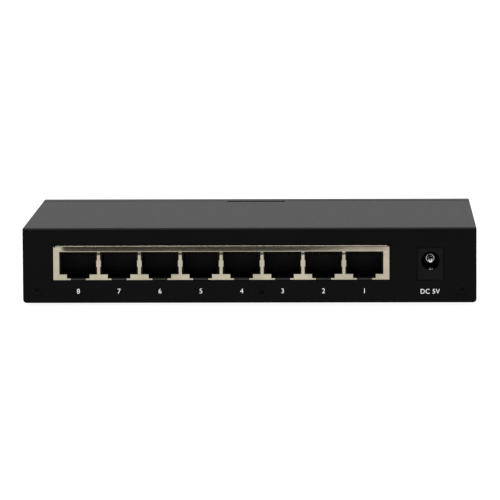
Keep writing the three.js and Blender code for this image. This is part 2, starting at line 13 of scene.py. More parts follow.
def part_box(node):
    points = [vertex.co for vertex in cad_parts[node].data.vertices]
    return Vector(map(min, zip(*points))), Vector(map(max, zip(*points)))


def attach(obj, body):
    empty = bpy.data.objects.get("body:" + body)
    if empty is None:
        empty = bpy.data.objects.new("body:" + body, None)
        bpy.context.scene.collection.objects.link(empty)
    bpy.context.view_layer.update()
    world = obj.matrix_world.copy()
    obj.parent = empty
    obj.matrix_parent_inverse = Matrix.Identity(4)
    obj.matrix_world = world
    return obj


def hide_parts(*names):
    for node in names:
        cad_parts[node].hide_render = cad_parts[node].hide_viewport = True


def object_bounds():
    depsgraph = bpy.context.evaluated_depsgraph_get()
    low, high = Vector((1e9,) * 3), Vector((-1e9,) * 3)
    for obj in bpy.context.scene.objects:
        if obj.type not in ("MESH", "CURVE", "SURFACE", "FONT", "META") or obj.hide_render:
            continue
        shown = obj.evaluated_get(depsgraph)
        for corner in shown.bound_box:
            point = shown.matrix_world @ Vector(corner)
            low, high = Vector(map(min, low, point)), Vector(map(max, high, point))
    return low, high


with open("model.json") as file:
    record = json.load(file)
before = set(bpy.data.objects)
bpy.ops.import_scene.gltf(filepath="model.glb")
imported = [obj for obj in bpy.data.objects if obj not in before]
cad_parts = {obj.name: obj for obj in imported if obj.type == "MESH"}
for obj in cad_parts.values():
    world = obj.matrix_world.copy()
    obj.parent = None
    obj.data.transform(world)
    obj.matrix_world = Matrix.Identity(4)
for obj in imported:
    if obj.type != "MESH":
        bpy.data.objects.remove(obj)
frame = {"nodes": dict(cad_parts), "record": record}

cad_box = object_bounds()

MM = 0.001
nodes = frame["nodes"]
case_low, case_high = cad_box
REAR_Y = case_low.y
FRONT_Y = case_high.y
TOP_Z = case_high.z


def body_of_node(node):
    return next(name for name, members in frame["record"]["behaviour"]["bodies"].items() if node in members)


# ---------------------------------------------------------------- material helpers

NOISE_ROUGHNESS = 0.55


def new_material(name):
    material = bpy.data.materials.new(name)
    material.use_nodes = True
    tree = material.node_tree
    shader = tree.nodes["Principled BSDF"]
    coordinates = tree.nodes.new("ShaderNodeTexCoord")
    return material, tree, shader, coordinates.outputs["Object"]


def noise(tree, place, scale, detail=3.0, stretch=None):
    """A noise texture in object space; scale is in cells per metre."""
    if stretch is not None:
        mapping = tree.nodes.new("ShaderNodeMapping")
        mapping.inputs["Scale"].default_value = stretch
        tree.links.new(place, mapping.inputs["Vector"])
        place = mapping.outputs["Vector"]
    node = tree.nodes.new("ShaderNodeTexNoise")
    node.inputs["Scale"].default_value = scale
    node.inputs["Detail"].default_value = detail
    node.inputs["Roughness"].default_value = NOISE_ROUGHNESS
    tree.links.new(place, node.inputs["Vector"])
    return node.outputs["Fac"]


def ranged(tree, value, low, high, from_low=0.3, from_high=0.7):
    node = tree.nodes.new("ShaderNodeMapRange")
    node.inputs["From Min"].default_value = from_low
    node.inputs["From Max"].default_value = from_high
    node.inputs["To Min"].default_value = low
    node.inputs["To Max"].default_value = high
    tree.links.new(value, node.inputs["Value"])
    return node.outputs["Result"]


def mixed_colour(tree, factor, first, second):
    node = tree.nodes.new("ShaderNodeMix")
    node.data_type = "RGBA"
    node.inputs[6].default_value = (*first, 1.0)
    node.inputs[7].default_value = (*second, 1.0)
    tree.links.new(factor, node.inputs["Factor"])
    return node.outputs[2]


def bumped(tree, shader, *layers):
    """Bump layers, each (height, depth in metres)."""
    normal = None
    for height, depth in layers:
        node = tree.nodes.new("ShaderNodeBump")
        node.inputs["Strength"].default_value = 1.0
        node.inputs["Distance"].default_value = depth
        tree.links.new(height, node.inputs["Height"])
        if normal is not None:
            tree.links.new(normal, node.inputs["Normal"])
        normal = node.outputs["Normal"]
    tree.links.new(normal, shader.inputs["Normal"])


def finish(name, dark, light, rough, metallic=0.0, specular=0.5, tint_scale=120.0, grain_scale=2500.0,
           grain=0.0, wave_scale=400.0, wave=0.0, stretch=None):
    """A surface whose colour drifts between two tones and whose roughness and relief vary.
    rough is (lowest, highest); grain and wave are relief depths in metres, fine and coarse."""
    material, tree, shader, place = new_material(name)
    drift = noise(tree, place, tint_scale, detail=4.0)
    fine = noise(tree, place, grain_scale, detail=2.0, stretch=stretch)
    coarse = noise(tree, place, wave_scale, detail=2.0)
    tint = mixed_colour(tree, ranged(tree, drift, 0.0, 1.0), dark, light)
    tree.links.new(tint, shader.inputs["Base Color"])
    tree.links.new(ranged(tree, fine, rough[0], rough[1]), shader.inputs["Roughness"])
    shader.inputs["Metallic"].default_value = metallic
    shader.inputs["Specular IOR Level"].default_value = specular
    layers = []
    if wave:
        layers.append((coarse, wave))
    if grain:
        layers.append((fine, grain))
    if layers:
        bumped(tree, shader, *layers)
    return material


def powder_coat():
    """Black powder coat: a fine dry grain over a faint orange peel."""
    return finish("powder_coat", (0.0010, 0.0010, 0.0011), (0.0018, 0.0018, 0.0020), (0.40, 0.54),
                  specular=0.068, tint_scale=60, grain_scale=3200, grain=2.2e-6, wave_scale=700, wave=1.6e-6)


def tin_plate():
    """Bright tin over rolled steel, with the drawn lines of the strip and a warm cast."""
    return finish("tin_plate", (0.40, 0.355, 0.27), (0.50, 0.455, 0.355), (0.235, 0.265), metallic=1.0,
                  tint_scale=110, grain_scale=2200, grain=1.0e-7, wave_scale=260, wave=3e-7,
                  stretch=(0.1, 1.0, 1.0))


def bezel_plastic():
    return finish("bezel_plastic", (0.0020, 0.0020, 0.0023), (0.0040, 0.0040, 0.0045), (0.40, 0.52),
                  specular=0.06, tint_scale=90, grain_scale=4200, grain=1.2e-6, wave_scale=160, wave=4e-6)


def socket_plastic():
    return finish("socket_plastic", (0.0016, 0.0016, 0.0017), (0.0032, 0.0032, 0.0034), (0.38, 0.55),
                  specular=0.11, tint_scale=200, grain_scale=3600, grain=2e-6, wave_scale=500, wave=3e-6)


def jack_plastic():
    return finish("jack_plastic", (0.0024, 0.0024, 0.0025), (0.0048, 0.0048, 0.0050), (0.4, 0.6),
                  specular=0.085, tint_scale=500, grain_scale=3000, grain=4e-6, wave_scale=900, wave=4e-6)


def black_oxide():
    return finish("black_oxide", (0.0006, 0.0006, 0.0007), (0.0014, 0.0014, 0.0015), (0.26, 0.40),
                  specular=0.07, tint_scale=900, grain_scale=5000, grain=1.5e-6, wave_scale=900, wave=2e-6)


def bright_zinc():
    return finish("bright_zinc", (0.50, 0.50, 0.47), (0.66, 0.66, 0.63), (0.22, 0.4), metallic=1.0,
                  tint_scale=700, grain_scale=5000, grain=1e-6, wave_scale=900, wave=2e-6)


def gold_flash():
    return finish("gold_flash", (0.80, 0.56, 0.24), (0.92, 0.70, 0.36), (0.16, 0.3), metallic=1.0,
                  tint_scale=900, grain_scale=5000, grain=6e-7, stretch=(4.0, 0.4, 1.0))


def bright_nickel():
    return finish("bright_nickel", (0.62, 0.60, 0.56), (0.78, 0.76, 0.72), (0.1, 0.22), metallic=1.0,
                  tint_scale=600, grain_scale=4000, grain=6e-7, wave_scale=900, wave=1e-6)


def extruded_aluminium():
    return finish("extruded_aluminium", (0.44, 0.45, 0.46), (0.60, 0.61, 0.62), (0.3, 0.48), metallic=1.0,
                  tint_scale=200, grain_scale=2600, grain=2e-6, stretch=(1.0, 0.08, 1.0))


def drawn_can():
    return finish("drawn_can", (0.60, 0.60, 0.60), (0.76, 0.76, 0.77), (0.2, 0.36), metallic=1.0,
                  tint_scale=300, grain_scale=3000, grain=1e-6, stretch=(1.0, 1.0, 0.1))


def chip_resin():
    return finish("chip_resin", (0.012, 0.012, 0.013), (0.020, 0.020, 0.021), (0.5, 0.72), specular=0.4,
                  tint_scale=400, grain_scale=5200, grain=4e-6, wave_scale=1500, wave=2e-6)


def foot_rubber():
    return finish("foot_rubber", (0.012, 0.012, 0.012), (0.022, 0.022, 0.022), (0.7, 0.9), specular=0.3,
                  tint_scale=500, grain_scale=4200, grain=6e-6, wave_scale=900, wave=4e-6)


def soft_pad():
    return finish("soft_pad", (0.34, 0.37, 0.41), (0.44, 0.47, 0.52), (0.7, 0.9), tint_scale=600,
                  grain_scale=3000, grain=8e-6)


def solder_mask():
    """Green solder mask: buried copper areas show lighter and stand a little proud."""
    material, tree, shader, place = new_material("solder_mask")
    cells = tree.nodes.new("ShaderNodeTexVoronoi")
    cells.feature = "DISTANCE_TO_EDGE"
    cells.inputs["Scale"].default_value = 140
    tree.links.new(place, cells.inputs["Vector"])
    copper = ranged(tree, cells.outputs["Distance"], 0.0, 1.0, 0.02, 0.05)
    colour = mixed_colour(tree, copper, (0.006, 0.055, 0.022), (0.014, 0.105, 0.042))
    fine = noise(tree, place, 2600)
    tree.links.new(colour, shader.inputs["Base Color"])
    tree.links.new(ranged(tree, fine, 0.22, 0.36), shader.inputs["Roughness"])
    bumped(tree, shader, (copper, 1.2e-5), (fine, 1e-6))
    return material


def clear_moulding():
    """Clear polycarbonate with faint flow lines; a little diffuse, so that it reads as a light pipe."""
    material = finish("clear_moulding", (0.70, 0.74, 0.74), (0.82, 0.86, 0.86), (0.08, 0.18), specular=0.6,
                      tint_scale=300, grain_scale=2000, grain=1e-6, wave_scale=300, wave=3e-6)
    material.node_tree.nodes["Principled BSDF"].inputs["Transmission Weight"].default_value = 0.6
    return material


def lamp_lens():
    return finish("lamp_lens", (0.70, 0.74, 0.50), (0.84, 0.88, 0.66), (0.15, 0.3), specular=0.6,
                  tint_scale=1500, grain_scale=5000, grain=1e-6)


def panel_ink():
    """White screen print."""
    return finish("panel_ink", (0.86, 0.86, 0.85), (0.94, 0.94, 0.93), (0.45, 0.6), specular=0.4,
                  tint_scale=2500, grain_scale=6000, grain=2e-6)


def solder():
    return finish("solder", (0.50, 0.51, 0.52), (0.66, 0.67, 0.68), (0.2, 0.4), metallic=1.0,
                  tint_scale=1500, grain_scale=5000, grain=3e-6)


def ceramic():
    return finish("ceramic", (0.30, 0.22, 0.14), (0.42, 0.32, 0.22), (0.4, 0.6), tint_scale=1500,
                  grain_scale=5000, grain=3e-6)


def cut_steel():
    """The dull cut edge of the tinned strip."""
    return finish("cut_steel", (0.018, 0.017, 0.014), (0.030, 0.028, 0.024), (0.4, 0.55), specular=0.25,
                  tint_scale=900, grain_scale=5000, grain=2e-6)


MAKERS = {
    "case_paint": powder_coat, "shield_tin": tin_plate, "bezel_plastic": bezel_plastic,
    "socket_plastic": socket_plastic, "screw_black": black_oxide, "screw_steel": bright_zinc,
    "contact_gold": gold_flash, "can_nickel": bright_nickel, "sink_aluminium": extruded_aluminium,
    "can_aluminium": drawn_can, "chip_resin": chip_resin, "foot_rubber": foot_rubber,
    "thermal_pad": soft_pad, "board_laminate": solder_mask, "clear_plastic": clear_moulding,
    "led_lens": lamp_lens,
}
materials = {slot: make() for slot, make in MAKERS.items()}
jack_black = jack_plastic()
dull_edge = cut_steel()
white_ink = panel_ink()
tinned_lead = solder()
ceramic_body = ceramic()


# ---------------------------------------------------------------- mesh helpers

SAME_POINT = 1e-7
FLAT_WITHIN = 0.6
SOFT_ABOVE = 28.0
SEAM_LOW_Y = FRONT_Y - 11.0 * MM
SEAM_HIGH_Y = FRONT_Y - 6.5 * MM
SEAM_DEPTH = 1.5 * MM
TURN_STEPS = 48


def shade(bm, smooth_under):
    """Smooth shading, with the edges sharper than the given angle left crisp."""
    limit = math.radians(smooth_under)
    for face in bm.faces:
        face.smooth = True
    for edge in bm.edges:
        edge.smooth = len(edge.link_faces) == 2 and edge.calc_face_angle(0.0) < limit


def piece_from(bm, name, material, body, replaces=(), smooth_under=35.0):
    bm.normal_update()
    shade(bm, smooth_under)
    mesh = bpy.data.meshes.new(name)
    bm.to_mesh(mesh)
    bm.free()
    mesh.materials.append(material)
    piece = bpy.data.objects.new(name, mesh)
    bpy.context.scene.collection.objects.link(piece)
    normals = piece.modifiers.new("weighted_normals", "WEIGHTED_NORMAL")
    normals.keep_sharp = True
    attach(piece, body)
    if replaces:
        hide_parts(*replaces)


def clean_copy(node):
    """The CAD node's own shape, with its flat faces whole again."""
    bm = bmesh.new()
    bm.from_mesh(nodes[node].data)
    bmesh.ops.remove_doubles(bm, verts=bm.verts, dist=SAME_POINT)
    bmesh.ops.dissolve_limit(bm, angle_limit=math.radians(FLAT_WITHIN), verts=bm.verts, edges=bm.edges)
    return bm


def at_top_seam(edge):
    """Edges along the seam between the cover and the bezel, seen from above."""
    return all(SEAM_LOW_Y < vert.co.y < SEAM_HIGH_Y and vert.co.z > TOP_Z - SEAM_DEPTH for vert in edge.verts)


def soften(bm, width, segments=2):
    """Rounds the sharp edges; width is in millimetres. The seam on top stays crisp."""
    limit = math.radians(SOFT_ABOVE)
    edges = [e for e in bm.edges if len(e.link_faces) == 2 and e.calc_face_angle(0.0) > limit
             and not at_top_seam(e)]
    bmesh.ops.bevel(bm, geom=edges, offset=width * MM, offset_type="OFFSET", segments=segments,
                    profile=0.5, affect="EDGES", clamp_overlap=True)


def refined(node, width, slot, material=None, segments=2):
    """A finer piece that stands for a CAD node: the same shape with softened edges."""
    bm = clean_copy(node)
    soften(bm, width, segments)
    piece_from(bm, f"{node}_skin", material or materials[slot], body_of_node(node), (node,))


def add_box(bm, low, high):
    corners = [bm.verts.new((x, y, z)) for x in (low[0], high[0]) for y in (low[1], high[1])
               for z in (low[2], high[2])]
    for quad in ((0, 1, 3, 2), (4, 6, 7, 5), (0, 4, 5, 1), (2, 3, 7, 6), (0, 2, 6, 4), (1, 5, 7, 3)):
        bm.faces.new([corners[i] for i in quad])


def add_turned(bm, profile, origin):
    """A body turned about Y from (radius, along) points in millimetres, which start and end on the axis.
    A point on the axis is one vertex."""
    rings = []
    for radius, along in profile:
        if radius == 0.0:
            rings.append([bm.verts.new(turned_point(0.0, 0.0, along, origin))])
            continue
        rings.append([bm.verts.new(turned_point(radius, 2 * math.pi * i / TURN_STEPS, along, origin))
                      for i in range(TURN_STEPS)])
    made = []
    for lower, upper in zip(rings, rings[1:]):
        for i in range(TURN_STEPS):
            j = (i + 1) % TURN_STEPS
            if len(lower) == 1 and len(upper) == 1:
                break
            if len(lower) == 1:
                made.append(bm.faces.new((lower[0], upper[i], upper[j])))
            elif len(upper) == 1:
                made.append(bm.faces.new((lower[i], upper[0], lower[j])))
            else:
                made.append(bm.faces.new((lower[i], upper[i], upper[j], lower[j])))
    bmesh.ops.recalc_face_normals(bm, faces=made)


def turned_point(radius, angle, along, origin):
    offset = (radius * math.cos(angle), along, radius * math.sin(angle))
    return tuple(o + MM * p for o, p in zip(origin, offset))


def add_sweep(bm, path, section):
    """A closed section, (across, up) in metres, swept along points in a plane of constant X.
    across runs along X; up stands square to the path."""
    rings = []
    for i, point in enumerate(path):
        ahead = path[min(i + 1, len(path) - 1)] - path[max(i - 1, 0)]
        ahead.normalize()
        up = Vector((0, -ahead.z, ahead.y))
        rings.append([bm.verts.new(point + Vector((a, 0, 0)) + up * b) for a, b in section])
    count = len(section)
    made = [bm.faces.new(rings[0]), bm.faces.new(rings[-1][::-1])]
    for first, second in zip(rings, rings[1:]):
        for i in range(count):
            j = (i + 1) % count
            made.append(bm.faces.new((first[i], second[i], second[j], first[j])))
    bmesh.ops.recalc_face_normals(bm, faces=made)


def smooth_path(points, steps):
    """Points along a Catmull-Rom curve through the given ones."""
    ends = [2 * points[0] - points[1], *points, 2 * points[-1] - points[-2]]
    path = []
    for a, b, c, d in zip(ends, ends[1:], ends[2:], ends[3:]):
        for i in range(steps):
            t = i / steps
            path.append(0.5 * ((2 * b) + (c - a) * t + (2 * a - 5 * b + 4 * c - d) * t * t
                               + (3 * b - a - 3 * c + d) * t ** 3))
    path.append(points[-1])
    return path


# ---------------------------------------------------------------- case, screws and feet

for case_node in ("top_cover", "base_tray"):
    refined(case_node, 0.07, "case_paint")
for screw in ("cover_screw_left", "cover_screw_middle", "cover_screw_right"):
    refined(screw, 0.04, "screw_black")
for foot in ("foot_rear_left", "foot_rear_right", "foot_front_left", "foot_front_right"):
    refined(foot, 0.12, "foot_rubber", segments=3)
refined("front_bezel", 0.12, "bezel_plastic", segments=3)
refined("light_pipe", 0.1, "clear_plastic")

# ---------------------------------------------------------------- sockets

refined("port_housing", 0.1, "socket_plastic")

# The shield's front, seen from the side: the post heads lean back, a lip stands out above them, the band
# leans back from the lip to the shoulder, and the shoulder rolls over into the roof.
FRONT_REACH = 0.4 * MM
ROLL_RADIUS = 0.45 * MM
ROLL_ANGLES = (18, 36, 54, 68, 80)
BAND_HEIGHT = 2.1 * MM
LIP_HEIGHT = 0.3 * MM
LIP_FALL = 0.45 * MM
LIP_REACH = 0.3 * MM
LIP_START = 2.0 * MM
LIP_RUN = 2.5 * MM
FADE_START = 12.0 * MM
FADE_RUN = 22.0 * MM
FADED_SHARE = 0.38
POST_HEAD_RUN = 1.5 * MM
POST_HEAD_LEAN = 0.16 * MM
POST_HEAD_CURVE = 1.5
CUTS_FROM_LEFT = (2.0, 2.8, 3.6, 4.5)
CUTS_FROM_RIGHT = (34, 27, 20, 12, 2.5, 1)
SILL_HALF_WIDTH = 2.55 * MM
SILL_HEIGHT = 0.4 * MM
SILL_NEAR = 0.1 * MM
SILL_FAR = 0.5 * MM


def ramp(distance, start, run):
    """0 up to the start, 1 from the end of the run on, and straight between them."""
    return min(1.0, max(0.0, (distance - start) / run))


def lip_reach(x, low_x, high_x):
    """How far the upper band's lip stands out: nothing at the two ends, and less toward the right end."""
    rise = ramp(x - low_x, LIP_START, LIP_RUN)
    fade = FADED_SHARE + (1 - FADED_SHARE) * ramp(high_x - x, FADE_START, FADE_RUN)
    end = ramp(high_x - x, 0.0, LIP_RUN)
    return LIP_REACH * rise * fade * end


def front_stand(z, reach, post_head, lip_foot, band_foot, lip_top, shoulder):
    """How far the shield's front stands forward of its plane at a height; less than nothing is back."""
    lean = POST_HEAD_LEAN * min(1.0, reach / (0.5 * LIP_REACH))
    if z < lip_foot:
        return -lean * ((z - post_head) / (lip_foot - post_head)) ** POST_HEAD_CURVE
    if z < lip_top:
        return -lean + (reach + lean) * min(1.0, (z - lip_foot) / (band_foot - lip_foot))
    return reach * max(0.0, 1 - (z - lip_top) / (shoulder - lip_top))


def roll_back(z, shoulder):
    """How far the front has turned back on its way over into the roof."""
    over = min(ROLL_RADIUS, max(0.0, z - shoulder))
    return min(FRONT_REACH, ROLL_RADIUS - math.sqrt(ROLL_RADIUS ** 2 - over ** 2))


def cut_across(bm, places, normal):
    """New edges where planes with the given normal cross the shape."""
    for place in places:
        bmesh.ops.bisect_plane(bm, geom=[*bm.verts, *bm.edges, *bm.faces], plane_co=place * Vector(normal),
                               plane_no=normal, dist=SAME_POINT)


def shield_skin():
    """The folded tin shield, its front cut into strips and each strip moved to its place."""
    bm = clean_copy("port_shield")
    low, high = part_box("port_shield")
    shoulder = high.z - ROLL_RADIUS
    band_foot = high.z - BAND_HEIGHT
    lip_top = band_foot + LIP_HEIGHT
    lip_foot = band_foot - LIP_FALL
    post_head = band_foot - POST_HEAD_RUN
    cut_across(bm, (post_head, (post_head + lip_foot) / 2, lip_foot, band_foot, lip_top,
                    (lip_top + shoulder) / 2, shoulder), (0, 0, 1))
    cut_across(bm, [shoulder + ROLL_RADIUS * math.sin(math.radians(a)) for a in ROLL_ANGLES], (0, 0, 1))
    cut_across(bm, [low.x + d * MM for d in CUTS_FROM_LEFT], (1, 0, 0))
    cut_across(bm, [high.x - d * MM for d in CUTS_FROM_RIGHT], (1, 0, 0))
    for vert in bm.verts:
        if vert.co.y > low.y + FRONT_REACH or vert.co.z < post_head:
            continue
        z = vert.co.z
        reach = lip_reach(vert.co.x, low.x, high.x)
        stand = front_stand(z, reach, post_head, lip_foot, band_foot, lip_top, shoulder)
        vert.co.y += roll_back(z, shoulder) - stand
    piece_from(bm, "port_shield_skin", materials["shield_tin"], body_of_node("port_shield"),
               ("port_shield",), 30)


def slot_sills():
    """The shield's floor plate, whose dull cut edge shows at the bottom of each slot."""
    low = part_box("port_shield")[0]
    bm = bmesh.new()
    for number in range(1, 9):
        wires_low, wires_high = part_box(f"port_contacts_{number}")
        middle = (wires_low.x + wires_high.x) / 2
        add_box(bm, (middle - SILL_HALF_WIDTH, low.y + SILL_NEAR, low.z),
                (middle + SILL_HALF_WIDTH, low.y + SILL_FAR, low.z + SILL_HEIGHT))
    bmesh.ops.recalc_face_normals(bm, faces=bm.faces)
    piece_from(bm, "port_shield_sills", dull_edge, body_of_node("port_shield"))


shield_skin()
slot_sills()

# Contact wires: (along Y, along Z) from the root in millimetres, and the sizes of wire and root bar.
WIRE_RUN = ((-0.1, 0.0), (0.7, -0.06), (1.7, -0.42), (4.6, -1.45), (7.6, -2.48), (8.3, -2.64), (8.9, -2.6))
WIRE_COUNT = 8
WIRE_PITCH = 1.016 * MM
WIRE_WIDTH = 0.42
WIRE_HEIGHT = 0.34
WIRE_ROUNDING = 0.08
WIRE_STEPS = 6
ROOT_BAR_DEPTH = 0.7 * MM
ROOT_BAR_HEIGHT = 0.5 * MM


def wire_section(width, height):
    """A rectangle with cut corners: sizes in millimetres, points in metres."""
    a, b, r = width / 2, height / 2, WIRE_ROUNDING
    corners = ((a - r, -b), (a, -b + r), (a, b - r), (a - r, b),
               (-a + r, b), (-a, b - r), (-a, -b + r), (-a + r, -b))
    return [(x * MM, y * MM) for x, y in corners]


def contact_wires(number):
    """Eight sprung wires in one socket: each leaves the root, rolls over and slopes down to a free end."""
    node = f"port_contacts_{number}"
    low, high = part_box(node)
    root = Vector(((low.x + high.x) / 2, low.y + ROOT_BAR_DEPTH / 2, high.z - ROOT_BAR_HEIGHT / 2))
    bm = bmesh.new()
    for i in range(WIRE_COUNT):
        x = (i - (WIRE_COUNT - 1) / 2) * WIRE_PITCH
        path = smooth_path([root + Vector((x, y * MM, z * MM)) for y, z in WIRE_RUN], WIRE_STEPS)
        add_sweep(bm, path, wire_section(WIRE_WIDTH, WIRE_HEIGHT))
    add_box(bm, (low.x, low.y, high.z - ROOT_BAR_HEIGHT), (high.x, low.y + ROOT_BAR_DEPTH, high.z))
    piece_from(bm, f"{node}_wires", materials["contact_gold"], body_of_node(node),
               (node,), 40)


for port in range(1, 9):
    contact_wires(port)

# ---------------------------------------------------------------- power jack

refined("dc_jack_housing", 0.06, "socket_plastic", jack_black)
refined("dc_jack_spring", 0.05, "can_nickel")

# Turned outlines in the jack, as (radius, distance behind the pin's tip) in millimetres.
# A dome is (centre, radius, angles); see dome below.
PIN_HOLE = ((0.0, 1.6), (0.25, 1.5))
TIP_DOME = ((0.14, 1.15), 1.15, range(8, 29, 4))
TIP_EDGE = ((0.574, 0.335), 0.226, range(38, 91, 13))
PIN_NECK = ((0.85, 0.7), (0.94, 1.2), (1.0, 1.9), (1.0, 7.4), (0.8, 8.4))
PIN_TAIL_RADIUS = 0.8
RING_FACE = ((1.26, 7.24), (1.29, 7.2), (1.40, 7.2), (1.43, 7.24))
RING_OUTLINE = ((0.0, 7.9), (1.26, 7.9), *RING_FACE, (1.43, 8.4), (0.0, 8.4))
RING_FLOOR_OUTLINE = ((0.0, 7.5), (1.25, 7.5), (1.25, 7.88), (0.0, 7.88))
FLANGE_BEHIND_PANEL = 0.95 * MM
FLANGE_THICKNESS = 0.6 * MM
FLANGE_STEP = 0.7 * MM


def dome(centre, radius, angles):
    """Outline points on an arc that bulges toward the tip; angles in degrees from straight ahead."""
    across, along = centre
    return [(across + radius * math.sin(math.radians(a)), along - radius * math.cos(math.radians(a)))
            for a in angles]


def jack_pin():
    """The centre pin, with a hollow domed tip, and the metal ring and dark floor around its root."""
    low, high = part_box("dc_jack_pin")
    origin = ((low.x + high.x) / 2, low.y, (low.z + high.z) / 2)
    length = (high.y - low.y) / MM
    pin_outline = (*PIN_HOLE, *dome(*TIP_DOME), *dome(*TIP_EDGE), *PIN_NECK, (PIN_TAIL_RADIUS, length),
                   (0.0, length))
    body = body_of_node("dc_jack_pin")
    for name, outline, material, slot, replaced in (
            ("dc_jack_pin_turned", pin_outline, materials["can_nickel"], "can_nickel", ("dc_jack_pin",)),
            ("dc_jack_ring", RING_OUTLINE, materials["can_nickel"], "can_nickel", ()),
            ("dc_jack_ring_floor", RING_FLOOR_OUTLINE, jack_black, "socket_plastic", ())):
        bm = bmesh.new()
        add_turned(bm, outline, origin)
        piece_from(bm, name, material, body, replaced)


def jack_flange():
    """The step of the jack's moulding that closes the gap behind its window in the panel."""
    low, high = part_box("dc_jack_housing")
    near = REAR_Y + FLANGE_BEHIND_PANEL
    far = near + FLANGE_THICKNESS
    outer_low, outer_high = low.x - FLANGE_STEP, high.x + FLANGE_STEP
    bm = bmesh.new()
    add_box(bm, (outer_low, near, low.z), (low.x, far, high.z))
    add_box(bm, (high.x, near, low.z), (outer_high, far, high.z))
    add_box(bm, (outer_low, near, high.z), (outer_high, far, high.z + FLANGE_STEP))
    bmesh.ops.recalc_face_normals(bm, faces=bm.faces)
    piece_from(bm, "dc_jack_flange", jack_black, body_of_node("dc_jack_housing"))


jack_pin()
jack_flange()

# ---------------------------------------------------------------- print on the panels

INK_LIFT = 0.02 * MM
INK_HALF_THICKNESS = 0.012 * MM
DIGIT_HEIGHT = 1.64 * MM
DIGIT_Z = 5.35 * MM
VOLTAGE_X = 61.7 * MM
VOLTAGE_Z = 5.12 * MM
VOLTAGE_HEIGHT = 1.62 * MM
VOLTAGE_WIDTH = 6.5 * MM


def label(name, words, centre, height, body, width=None, turn=0.0, boldness=-0.003, spacing=1.0):
    """Raised ink in plain sans letters, centred on a point, facing -Y or, with a half turn, +Y.
    Boldness widens the strokes, as a share of the letters' size."""
    data = bpy.data.curves.new(name, "FONT")
    data.body = words
    data.align_x = "CENTER"
    data.align_y = "CENTER"
    data.size = 1.0
    data.offset = boldness
    data.space_character = spacing
    data.materials.append(white_ink)
    piece = bpy.data.objects.new(name, data)
    bpy.context.scene.collection.objects.link(piece)
    bpy.context.view_layer.update()
    size = piece.dimensions
    up = height / size.y
    across = width / size.x if width else up
    data.extrude = INK_HALF_THICKNESS / up
    piece.scale = (across, up, up)
    piece.rotation_euler = (math.radians(90), 0, turn)
    piece.location = centre
    bpy.context.view_layer.update()
    corners = [piece.matrix_world @ Vector(c) for c in piece.bound_box]
    middle = sum(corners, Vector()) / 8
    piece.location += Vector((centre[0] - middle.x, 0, centre[2] - middle.z))
    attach(piece, body)


for port in range(1, 9):
    low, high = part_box(f"port_contacts_{port}")
    label(f"digit_{port}", str(port), ((low.x + high.x) / 2, REAR_Y - INK_LIFT, DIGIT_Z), DIGIT_HEIGHT,
          "cover")
label("voltage_mark", "DC 5V", (VOLTAGE_X, REAR_Y - INK_LIFT, VOLTAGE_Z), VOLTAGE_HEIGHT,
      "cover", width=VOLTAGE_WIDTH, boldness=0.001, spacing=1.08)

# ---------------------------------------------------------------- board and what is on it

refined("main_board", 0.08, "board_laminate")
refined("heat_sink", 0.08, "sink_aluminium")
refined("thermal_pad", 0.08, "thermal_pad")
refined("crystal", 0.15, "can_nickel", segments=3)
for chip in ("switch_chip", "flash_chip", "voltage_regulator_1", "voltage_regulator_2", "power_inductor",
             "line_transformer_1", "line_transformer_2", "line_transformer_3", "line_transformer_4"):
    refined(chip, 0.08, "chip_resin")
for can in ("input_capacitor", "output_capacitor"):
    refined(can, 0.08, "can_aluminium")
for i in range(1, 5):
    refined(f"board_screw_{i}", 0.06, "screw_steel")
for lamp in ("led_power", *(f"led_port_{i}" for i in range(1, 9))):
    refined(lamp, 0.06, "led_lens")


def board_top():
    """The level that the parts stand on: the underside of the memory chip's leads."""
    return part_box("flash_chip")[0].z


PART_LENGTH = 1.6 * MM
PART_WIDTH = 0.8 * MM
PART_HEIGHT = 0.5 * MM
PART_LIFT = 0.01 * MM
CAP_LENGTH = 0.35 * MM
CAP_PROUD = 0.03 * MM
LENGTH_SHARES = (0.75, 1.0)
ROW_COUNT = 8
ROW_PITCH = 2.4 * MM
ROW_GAP = 2.4 * MM
SINK_COUNT = 9
SINK_GAP = 2.6 * MM
LAMP_PART_ASIDE = 2.4 * MM
LAMP_PART_BEHIND = 3.4 * MM
MEMORY_GAP = 2.5 * MM
MEMORY_PITCH = 1.8 * MM


def small_part_places():
    """(x, y, along Y or not) of each chip resistor and capacitor: in rows by each transformer and on two
    sides of the heat sink, one by each lamp, and three by the memory chip."""
    places = []
    for i in range(1, 5):
        low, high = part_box(f"line_transformer_{i}")
        middle = (low.x + high.x) / 2
        places += [(middle + (k - (ROW_COUNT - 1) / 2) * ROW_PITCH, high.y + ROW_GAP, True)
                   for k in range(ROW_COUNT)]
    low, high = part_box("heat_sink")
    for k in range(SINK_COUNT):
        share = (k + 0.5) / SINK_COUNT
        places.append((low.x + share * (high.x - low.x), high.y + SINK_GAP, True))
        places.append((high.x + SINK_GAP, low.y + share * (high.y - low.y), False))
    for name in ("led_power", *(f"led_port_{n}" for n in range(1, 9))):
        low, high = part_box(name)
        places.append(((low.x + high.x) / 2 + LAMP_PART_ASIDE, low.y - LAMP_PART_BEHIND, True))
    low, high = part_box("flash_chip")
    places += [(low.x - MEMORY_GAP, (low.y + high.y) / 2 + k * MEMORY_PITCH, False) for k in (-1, 0, 1)]
    return places


